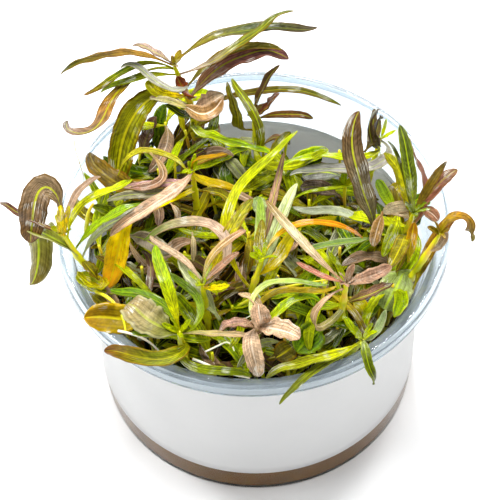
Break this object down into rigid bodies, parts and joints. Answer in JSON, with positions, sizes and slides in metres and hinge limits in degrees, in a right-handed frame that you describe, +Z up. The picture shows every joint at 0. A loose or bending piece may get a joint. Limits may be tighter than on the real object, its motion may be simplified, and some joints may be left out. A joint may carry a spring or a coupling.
{
  "type": "tissue culture cup with aquarium plants",
  "caption": "Clear round tissue culture cup with a bare wrap label and a floor of nutrient gel, crowded with narrow-leaved green and pink aquarium plant shoots.",
  "frame": {"origin": "middle of the cup's flat underside", "axes": "+Z up along the cup's turning axis; -Y towards the viewer of the picture, +X to the viewer's right"},
  "size_m": [0.1185, 0.1051, 0.0943],
  "materials": {
    "clear_polypropylene": "clear moulded polypropylene, smooth and glossy",
    "label_paper": "white coated paper wrap with a soft sheen",
    "nutrient_gel": "brown set agar gel, wet surface",
    "stem_green": "young olive green stem, moist",
    "crowd_green": "dark crowd of small moist leaves",
    "leaf_bright_green": "bright yellow green leaf, moist gloss",
    "leaf_green": "mid green leaf, moist gloss",
    "leaf_olive": "olive leaf turning brown at the edge",
    "leaf_purple": "purple brown leaf with a yellow green midrib",
    "leaf_pink": "pink and cream leaf",
    "leaf_grey_green": "thin grey green leaf, half see-through",
    "leaf_yellow": "yellow leaf fading to orange brown"
  },
  "bodies": {
    "root": {"cup": "clear_polypropylene", "label": "label_paper", "nutrient_gel": "nutrient_gel", "stem_back_left": "stem_green", "stem_back": "stem_green", "stem_left": "stem_green", "stem_middle": "stem_green", "stem_centre": "stem_green", "stem_inner_left": "stem_green", "stem_front_left": "stem_green", "stem_front": "stem_green", "stem_pink": "stem_green", "stem_front_right": "stem_green", "stem_right": "stem_green", "stem_right_back": "stem_green", "stem_far_right": "stem_green", "stem_back_right": "stem_green", "leaf_back_left_1": "leaf_olive", "leaf_back_left_2": "leaf_green", "leaf_back_left_3": "leaf_green", "leaf_back_left_4": "leaf_olive", "leaf_back_left_5": "leaf_purple", "leaf_back_left_6": "leaf_purple", "leaf_back_left_7": "leaf_pink", "leaf_back_left_8": "leaf_olive", "leaf_back_left_9": "leaf_bright_green", "leaf_back_left_10": "leaf_olive", "leaf_back_1": "leaf_purple", "leaf_back_2": "leaf_green", "leaf_left_1": "leaf_purple", "leaf_left_2": "leaf_purple", "leaf_left_3": "leaf_olive", "leaf_left_4": "leaf_bright_green", "leaf_left_5": "leaf_green", "leaf_middle_1": "leaf_yellow", "leaf_middle_2": "leaf_pink", "leaf_centre_1": "leaf_bright_green", "leaf_centre_2": "leaf_yellow", "leaf_inner_left_1": "leaf_yellow", "leaf_inner_left_2": "leaf_bright_green", "leaf_front_left_1": "leaf_bright_green", "leaf_front_left_2": "leaf_grey_green", "leaf_front_left_3": "leaf_green", "leaf_front_1": "leaf_pink", "leaf_front_2": "leaf_pink", "leaf_pink_1": "leaf_pink", "leaf_pink_2": "leaf_pink", "leaf_front_right_1": "leaf_bright_green", "leaf_front_right_2": "leaf_green", "leaf_front_right_3": "leaf_bright_green", "leaf_right_1": "leaf_grey_green", "leaf_right_2": "leaf_olive", "leaf_right_back_1": "leaf_olive", "leaf_right_back_2": "leaf_green", "leaf_right_back_3": "leaf_pink", "leaf_right_back_4": "leaf_purple", "leaf_far_right_1": "leaf_purple", "leaf_back_right_1": "leaf_bright_green", "leaf_back_right_2": "leaf_grey_green", "inner_leaves": "crowd_green"}
  },
  "joints": []
}
